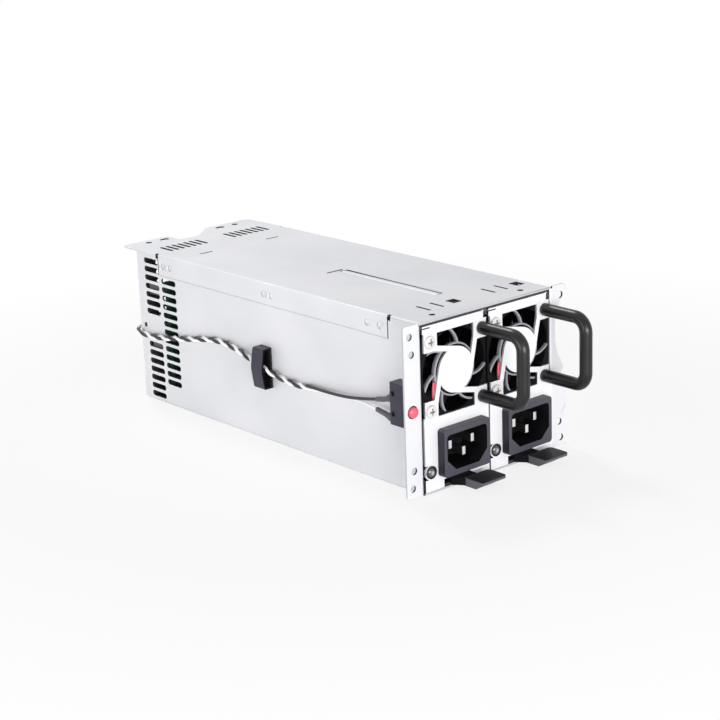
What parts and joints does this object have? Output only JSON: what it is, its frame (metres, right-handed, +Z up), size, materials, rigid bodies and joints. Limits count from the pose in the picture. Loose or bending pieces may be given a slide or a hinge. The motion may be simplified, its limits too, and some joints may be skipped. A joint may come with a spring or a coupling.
{
  "type": "hot swap server power supply",
  "caption": "Redundant server power supply: a sheet steel cage with two side by side plug-in modules, each with a fan, mains inlet, pull handle and release latch.",
  "frame": {"origin": "centre of the cage's bottom face", "axes": "+X to the right seen from the front, +Y to the rear along the bays, +Z up; the front with the handles looks along -Y"},
  "size_m": [0.103, 0.257, 0.0805],
  "materials": {
    "zinc_sheet": "zinc plated sheet, fine grain, satin",
    "plate_steel": "bright nickel plated sheet, satin",
    "screw_steel": "nickel plated",
    "spring_steel": "drawn wire",
    "terminal_brass": "tinned brass",
    "pin_nickel": "nickel plated brass",
    "circuit_board": "glass laminate with green mask",
    "socket_plastic": "moulded, matt",
    "buzzer_plastic": "moulded, satin",
    "header_plastic": "moulded, satin",
    "switch_plastic": "moulded, satin, dark blue grey",
    "sleeve_grey": "shrink sleeve, dark grey",
    "pad_foam": "adhesive foam",
    "clip_plastic": "moulded, satin, dark blue grey",
    "lead_black": "insulated wire, black",
    "lead_white": "insulated wire, white",
    "lead_red": "insulated wire, red",
    "button_red": "moulded, gloss red",
    "fan_plastic": "glass filled black moulding",
    "handle_black": "black coated bar, satin",
    "inlet_plastic": "moulded, satin, dark grey",
    "lamp_ring": "moulded black",
    "lamp_lens": "clear water white lens",
    "latch_plastic": "moulded, satin black",
    "ferrite": "ferrite core and tape",
    "capacitor_sleeve": "sleeved aluminium can",
    "sink_aluminium": "extruded, plain"
  },
  "bodies": {
    "cage": {"cage_base": "zinc_sheet", "top_cover": "zinc_sheet", "centre_divider": "zinc_sheet", "rear_panel": "zinc_sheet", "backplane_board": "circuit_board", "backplane_bracket": "zinc_sheet", "board_screws": "screw_steel", "card_edge_sockets": "socket_plastic", "output_terminals": "terminal_brass", "alarm_buzzer": "buzzer_plastic", "lead_header": "header_plastic", "switch_body": "switch_plastic", "switch_terminals": "terminal_brass", "terminal_sleeves": "sleeve_grey", "clip_pad": "pad_foam", "cable_clip": "clip_plastic", "lead_black": "lead_black", "lead_white": "lead_white"},
    "alarm_button": {"alarm_button": "button_red"},
    "module_left": {"left_front_plate": "plate_steel", "left_module_case": "zinc_sheet", "left_module_cover": "zinc_sheet", "left_fan_frame": "fan_plastic", "left_fan_screws": "screw_steel", "left_fan_lead": "lead_red", "left_handle": "handle_black", "left_inlet_housing": "inlet_plastic", "left_inlet_pins": "pin_nickel", "left_lamp_holder": "lamp_ring", "left_status_lamp": "lamp_lens", "left_latch_pin": "screw_steel", "left_latch_spring": "spring_steel", "left_main_board": "circuit_board", "left_transformer": "ferrite", "left_capacitors": "capacitor_sleeve", "left_heat_sinks": "sink_aluminium"},
    "fan_left": {"left_fan_rotor": "fan_plastic"},
    "latch_left": {"left_latch_lever": "latch_plastic"},
    "module_right": {"right_front_plate": "plate_steel", "right_module_case": "zinc_sheet", "right_module_cover": "zinc_sheet", "right_fan_frame": "fan_plastic", "right_fan_screws": "screw_steel", "right_fan_lead": "lead_red", "right_handle": "handle_black", "right_inlet_housing": "inlet_plastic", "right_inlet_pins": "pin_nickel", "right_lamp_holder": "lamp_ring", "right_status_lamp": "lamp_lens", "right_latch_pin": "screw_steel", "right_latch_spring": "spring_steel", "right_main_board": "circuit_board", "right_transformer": "ferrite", "right_capacitors": "capacitor_sleeve", "right_heat_sinks": "sink_aluminium"},
    "fan_right": {"right_fan_rotor": "fan_plastic"},
    "latch_right": {"right_latch_lever": "latch_plastic"}
  },
  "joints": [
    {"name": "alarm_button_press", "type": "slide", "parent": "cage", "child": "alarm_button", "axis": [0, 1, 0], "range_m": [0, 0.0012], "stiffness_N_per_m": 400},
    {"name": "left_module_slide", "type": "slide", "parent": "cage", "child": "module_left", "axis": [0, -1, 0], "range_m": [0, 0.188]},
    {"name": "left_fan_spin", "type": "hinge", "parent": "module_left", "child": "fan_left", "pos_m": [-0.0205, -0.10765, 0.0549], "axis": [0, 1, 0], "continuous": true},
    {"name": "left_latch_turn", "type": "hinge", "parent": "module_left", "child": "latch_left", "pos_m": [-0.01925, -0.07525, 0.004], "axis": [0, 0, -1], "range_deg": [0, 6], "stiffness_Nm_per_rad": 0.08},
    {"name": "right_module_slide", "type": "slide", "parent": "cage", "child": "module_right", "axis": [0, -1, 0], "range_m": [0, 0.188]},
    {"name": "right_fan_spin", "type": "hinge", "parent": "module_right", "child": "fan_right", "pos_m": [0.0205, -0.10765, 0.0549], "axis": [0, 1, 0], "continuous": true},
    {"name": "right_latch_turn", "type": "hinge", "parent": "module_right", "child": "latch_right", "pos_m": [0.02175, -0.07525, 0.004], "axis": [0, 0, -1], "range_deg": [0, 6], "stiffness_Nm_per_rad": 0.08}
  ]
}
